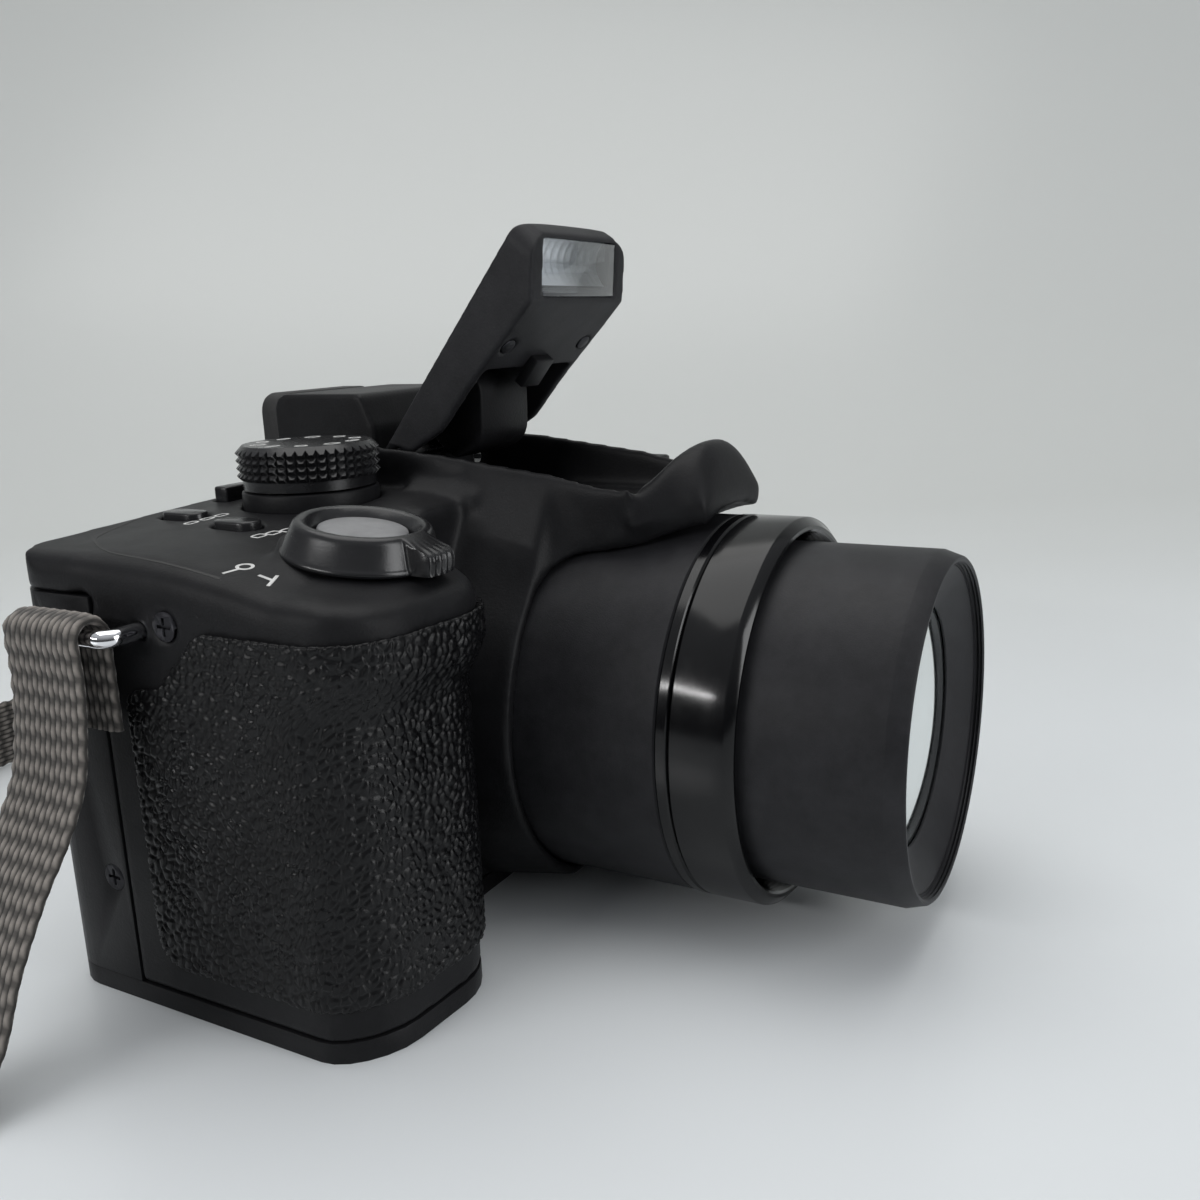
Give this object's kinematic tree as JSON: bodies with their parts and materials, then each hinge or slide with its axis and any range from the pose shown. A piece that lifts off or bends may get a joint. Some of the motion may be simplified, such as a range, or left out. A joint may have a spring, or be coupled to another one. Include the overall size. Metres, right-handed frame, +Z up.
{
  "type": "bridge camera",
  "caption": "Compact bridge camera with its long zoom lens run out and pop-up flash raised, with mode dial, zoom ring, shutter button, rear screen and webbing neck strap.",
  "frame": {"origin": "middle of the tripod socket's mouth in the base", "axes": "+Z up from the base, -Y along the lens towards the subject, -X towards the hand grip"},
  "size_m": [0.2111, 0.1879, 0.0982],
  "materials": {
    "body_plastic": "fine-grained matte black",
    "flash_shell": "matte dark grey",
    "leatherette": "pebbled black",
    "lens_black": "satin black",
    "gloss_black": "polished black",
    "front_element": "coated",
    "lamp_window": "clear",
    "lamp_mirror": "polished",
    "screen_cover": "polished dark",
    "chrome": "polished",
    "steel": "plain",
    "dark_steel": "blackened",
    "bush_brass": "plated",
    "frame_metal": "plain",
    "soft_rubber": "soft matte black",
    "control_black": "satin black",
    "shutter_grey": "satin grey",
    "board_green": "coated",
    "sensor_cover": "polished",
    "cell_case": "plain",
    "card_blue": "plain",
    "webbing": "coarse woven taupe"
  },
  "bodies": {
    "camera": {"bottom_cover": "body_plastic", "front_cover": "body_plastic", "rear_cover": "body_plastic", "top_cover": "body_plastic", "dial_collar": "body_plastic", "lens_base": "body_plastic", "grip_panel": "leatherette", "lens_shroud": "lens_black", "trim_ring": "gloss_black", "adapter_ring": "gloss_black", "eyepiece": "front_element", "lcd_window": "screen_cover", "lcd_panel": "screen_cover", "finder_display": "screen_cover", "strap_eyelets": "chrome", "flash_pin": "steel", "flash_spring": "steel", "battery_door_pin": "steel", "terminal_pin": "steel", "zoom_motor": "steel", "cover_screws": "dark_steel", "tripod_bush": "bush_brass", "chassis": "frame_metal", "eyecup": "soft_rubber", "main_board": "board_green", "image_sensor": "sensor_cover", "battery": "cell_case", "flash_capacitor": "cell_case", "memory_card": "card_blue", "strap_right": "webbing", "strap_roll": "webbing", "strap_left": "webbing"},
    "lens": {"lens_barrel": "lens_black", "front_bezel": "lens_black", "front_glass": "front_element", "zoom_group": "lens_black"},
    "flash": {"flash_head": "flash_shell", "flash_arm": "body_plastic", "flash_window": "lamp_window", "flash_reflector": "lamp_mirror", "flash_tube": "lamp_window", "flash_hook": "body_plastic", "flash_screws": "steel"},
    "dial": {"mode_dial": "control_black"},
    "zoom_lever": {"zoom_ring": "control_black"},
    "shutter": {"shutter_button": "shutter_grey"},
    "focus_key": {"focus_button": "control_black"},
    "burst_key": {"burst_button": "control_black"},
    "power": {"power_switch": "control_black"},
    "flash_key": {"flash_button": "control_black"},
    "diopter": {"diopter_wheel": "control_black"},
    "pad": {"cursor_pad": "control_black"},
    "menu_key": {"menu_button": "control_black"},
    "display_key": {"display_button": "control_black"},
    "delete_key": {"delete_button": "control_black"},
    "lock_key": {"lock_button": "control_black"},
    "base_door": {"battery_door": "body_plastic"},
    "door_latch": {"battery_latch": "body_plastic"},
    "side_door": {"terminal_door": "body_plastic"}
  },
  "joints": [
    {"name": "lens_run", "type": "slide", "parent": "camera", "child": "lens", "axis": [0, 1, 0], "range_m": [0, 0.02]},
    {"name": "flash_lift", "type": "hinge", "parent": "camera", "child": "flash", "pos_m": [0, 0.0045, 0.0664], "axis": [1, 0, 0], "range_deg": [0, 50.7], "stiffness_Nm_per_rad": 0.004, "springref_deg": -34.38},
    {"name": "dial_turn", "type": "hinge", "parent": "camera", "child": "dial", "pos_m": [-0.0255, 0.0107, 0.0658], "axis": [0, 0, 1], "continuous": true},
    {"name": "zoom_rock", "type": "hinge", "parent": "camera", "child": "zoom_lever", "pos_m": [-0.0445, -0.0145, 0.05992], "axis": [0, -0.1564, 0.9877], "range_deg": [-22, 22], "stiffness_Nm_per_rad": 0.01},
    {"name": "shutter_press", "type": "slide", "parent": "camera", "child": "shutter", "axis": [0, -0.1564, 0.9877], "range_m": [-0.001, 0], "stiffness_N_per_m": 400},
    {"name": "focus_press", "type": "slide", "parent": "camera", "child": "focus_key", "axis": [0, 0, 1], "range_m": [-0.0005, 0], "stiffness_N_per_m": 400},
    {"name": "burst_press", "type": "slide", "parent": "camera", "child": "burst_key", "axis": [0, 0, 1], "range_m": [-0.0005, 0], "stiffness_N_per_m": 400},
    {"name": "flash_press", "type": "slide", "parent": "camera", "child": "flash_key", "axis": [0, 0, 1], "range_m": [-0.0005, 0], "stiffness_N_per_m": 400},
    {"name": "power_slide", "type": "slide", "parent": "camera", "child": "power", "axis": [1, 0, 0], "range_m": [0, 0.003]},
    {"name": "diopter_turn", "type": "hinge", "parent": "camera", "child": "diopter", "pos_m": [0.0125, 0.02, 0.0686], "axis": [1, 0, 0], "range_deg": [-120, 120]},
    {"name": "pad_press", "type": "slide", "parent": "camera", "child": "pad", "axis": [0, 1, 0], "range_m": [-0.0005, 0], "stiffness_N_per_m": 400},
    {"name": "menu_press", "type": "slide", "parent": "camera", "child": "menu_key", "axis": [0, 1, 0], "range_m": [-0.0005, 0], "stiffness_N_per_m": 400},
    {"name": "display_press", "type": "slide", "parent": "camera", "child": "display_key", "axis": [0, 1, 0], "range_m": [-0.0005, 0], "stiffness_N_per_m": 400},
    {"name": "delete_press", "type": "slide", "parent": "camera", "child": "delete_key", "axis": [0, 1, 0], "range_m": [-0.0005, 0], "stiffness_N_per_m": 400},
    {"name": "lock_press", "type": "slide", "parent": "camera", "child": "lock_key", "axis": [0, 1, 0], "range_m": [-0.0005, 0], "stiffness_N_per_m": 400},
    {"name": "base_door_swing", "type": "hinge", "parent": "camera", "child": "base_door", "pos_m": [-0.0381, 0, 0.00135], "axis": [0, -1, 0], "range_deg": [0, 95]},
    {"name": "latch_slide", "type": "slide", "parent": "base_door", "child": "door_latch", "axis": [0, 1, 0], "range_m": [-0.0025, 0]},
    {"name": "side_door_swing", "type": "hinge", "parent": "camera", "child": "side_door", "pos_m": [0.05435, 0.0056, 0.0265], "axis": [0, 0, 1], "range_deg": [0, 90]}
  ]
}
